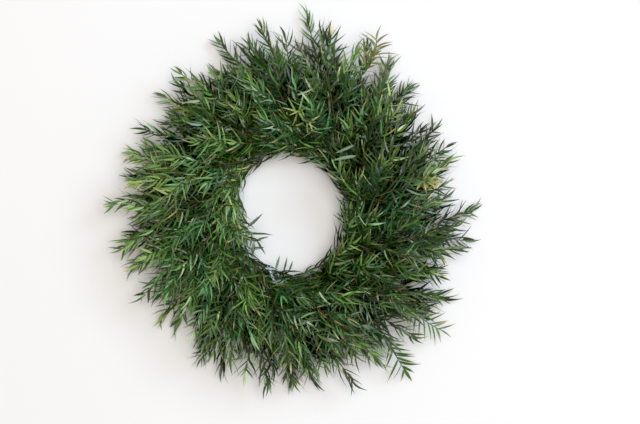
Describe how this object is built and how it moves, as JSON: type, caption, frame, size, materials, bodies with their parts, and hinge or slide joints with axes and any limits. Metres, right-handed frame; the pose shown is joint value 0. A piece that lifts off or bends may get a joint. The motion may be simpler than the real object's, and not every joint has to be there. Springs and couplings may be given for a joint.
{
  "type": "leaf wreath",
  "caption": "Small round wreath of narrow-leaved evergreen sprigs, all leaning the same way round and bound with florist's wire to a hoop of twisted vines, with an open centre.",
  "frame": {"origin": "Middle of the wreath's outline, seen from the front, on the surface that it lies on.", "axes": "+Z out of the wreath's front, along its shortest extent. +Y towards its top when it hangs. +X to the right, seen from the front."},
  "size_m": [0.2866, 0.2909, 0.0566],
  "materials": {
    "bark": "rough brown bark of thin vines and twigs",
    "wire": "bright bluish-grey florist's wire",
    "leaf": null
  },
  "bodies": {
    "root": {"vine_strand_1": "bark", "vine_strand_2": "bark", "vine_strand_3": "bark", "binding_wire": "wire", "sprig_01": "leaf", "sprig_02": "leaf", "sprig_03": "leaf", "sprig_04": "leaf", "sprig_05": "leaf", "sprig_06": "leaf", "sprig_07": "leaf", "sprig_08": "leaf", "sprig_09": "leaf", "sprig_10": "leaf", "sprig_11": "leaf", "sprig_12": "leaf", "sprig_13": "leaf", "sprig_14": "leaf", "sprig_15": "leaf", "sprig_16": "leaf", "sprig_17": "leaf", "sprig_18": "leaf", "sprig_19": "leaf", "sprig_20": "leaf", "sprig_21": "leaf", "sprig_22": "leaf", "sprig_23": "leaf", "sprig_24": "leaf", "sprig_25": "leaf", "sprig_26": "leaf", "sprig_27": "leaf", "sprig_28": "leaf", "sprig_29": "leaf", "sprig_30": "leaf", "sprig_31": "leaf", "sprig_32": "leaf", "sprig_33": "leaf", "sprig_34": "leaf", "sprig_35": "leaf", "sprig_36": "leaf", "sprig_37": "leaf", "sprig_38": "leaf", "sprig_39": "leaf", "sprig_40": "leaf", "sprig_41": "leaf", "sprig_42": "leaf", "sprig_43": "leaf", "sprig_44": "leaf", "sprig_45": "leaf", "sprig_46": "leaf", "sprig_47": "leaf", "sprig_48": "leaf", "sprig_49": "leaf", "sprig_50": "leaf", "sprig_51": "leaf", "sprig_52": "leaf"}
  },
  "joints": []
}
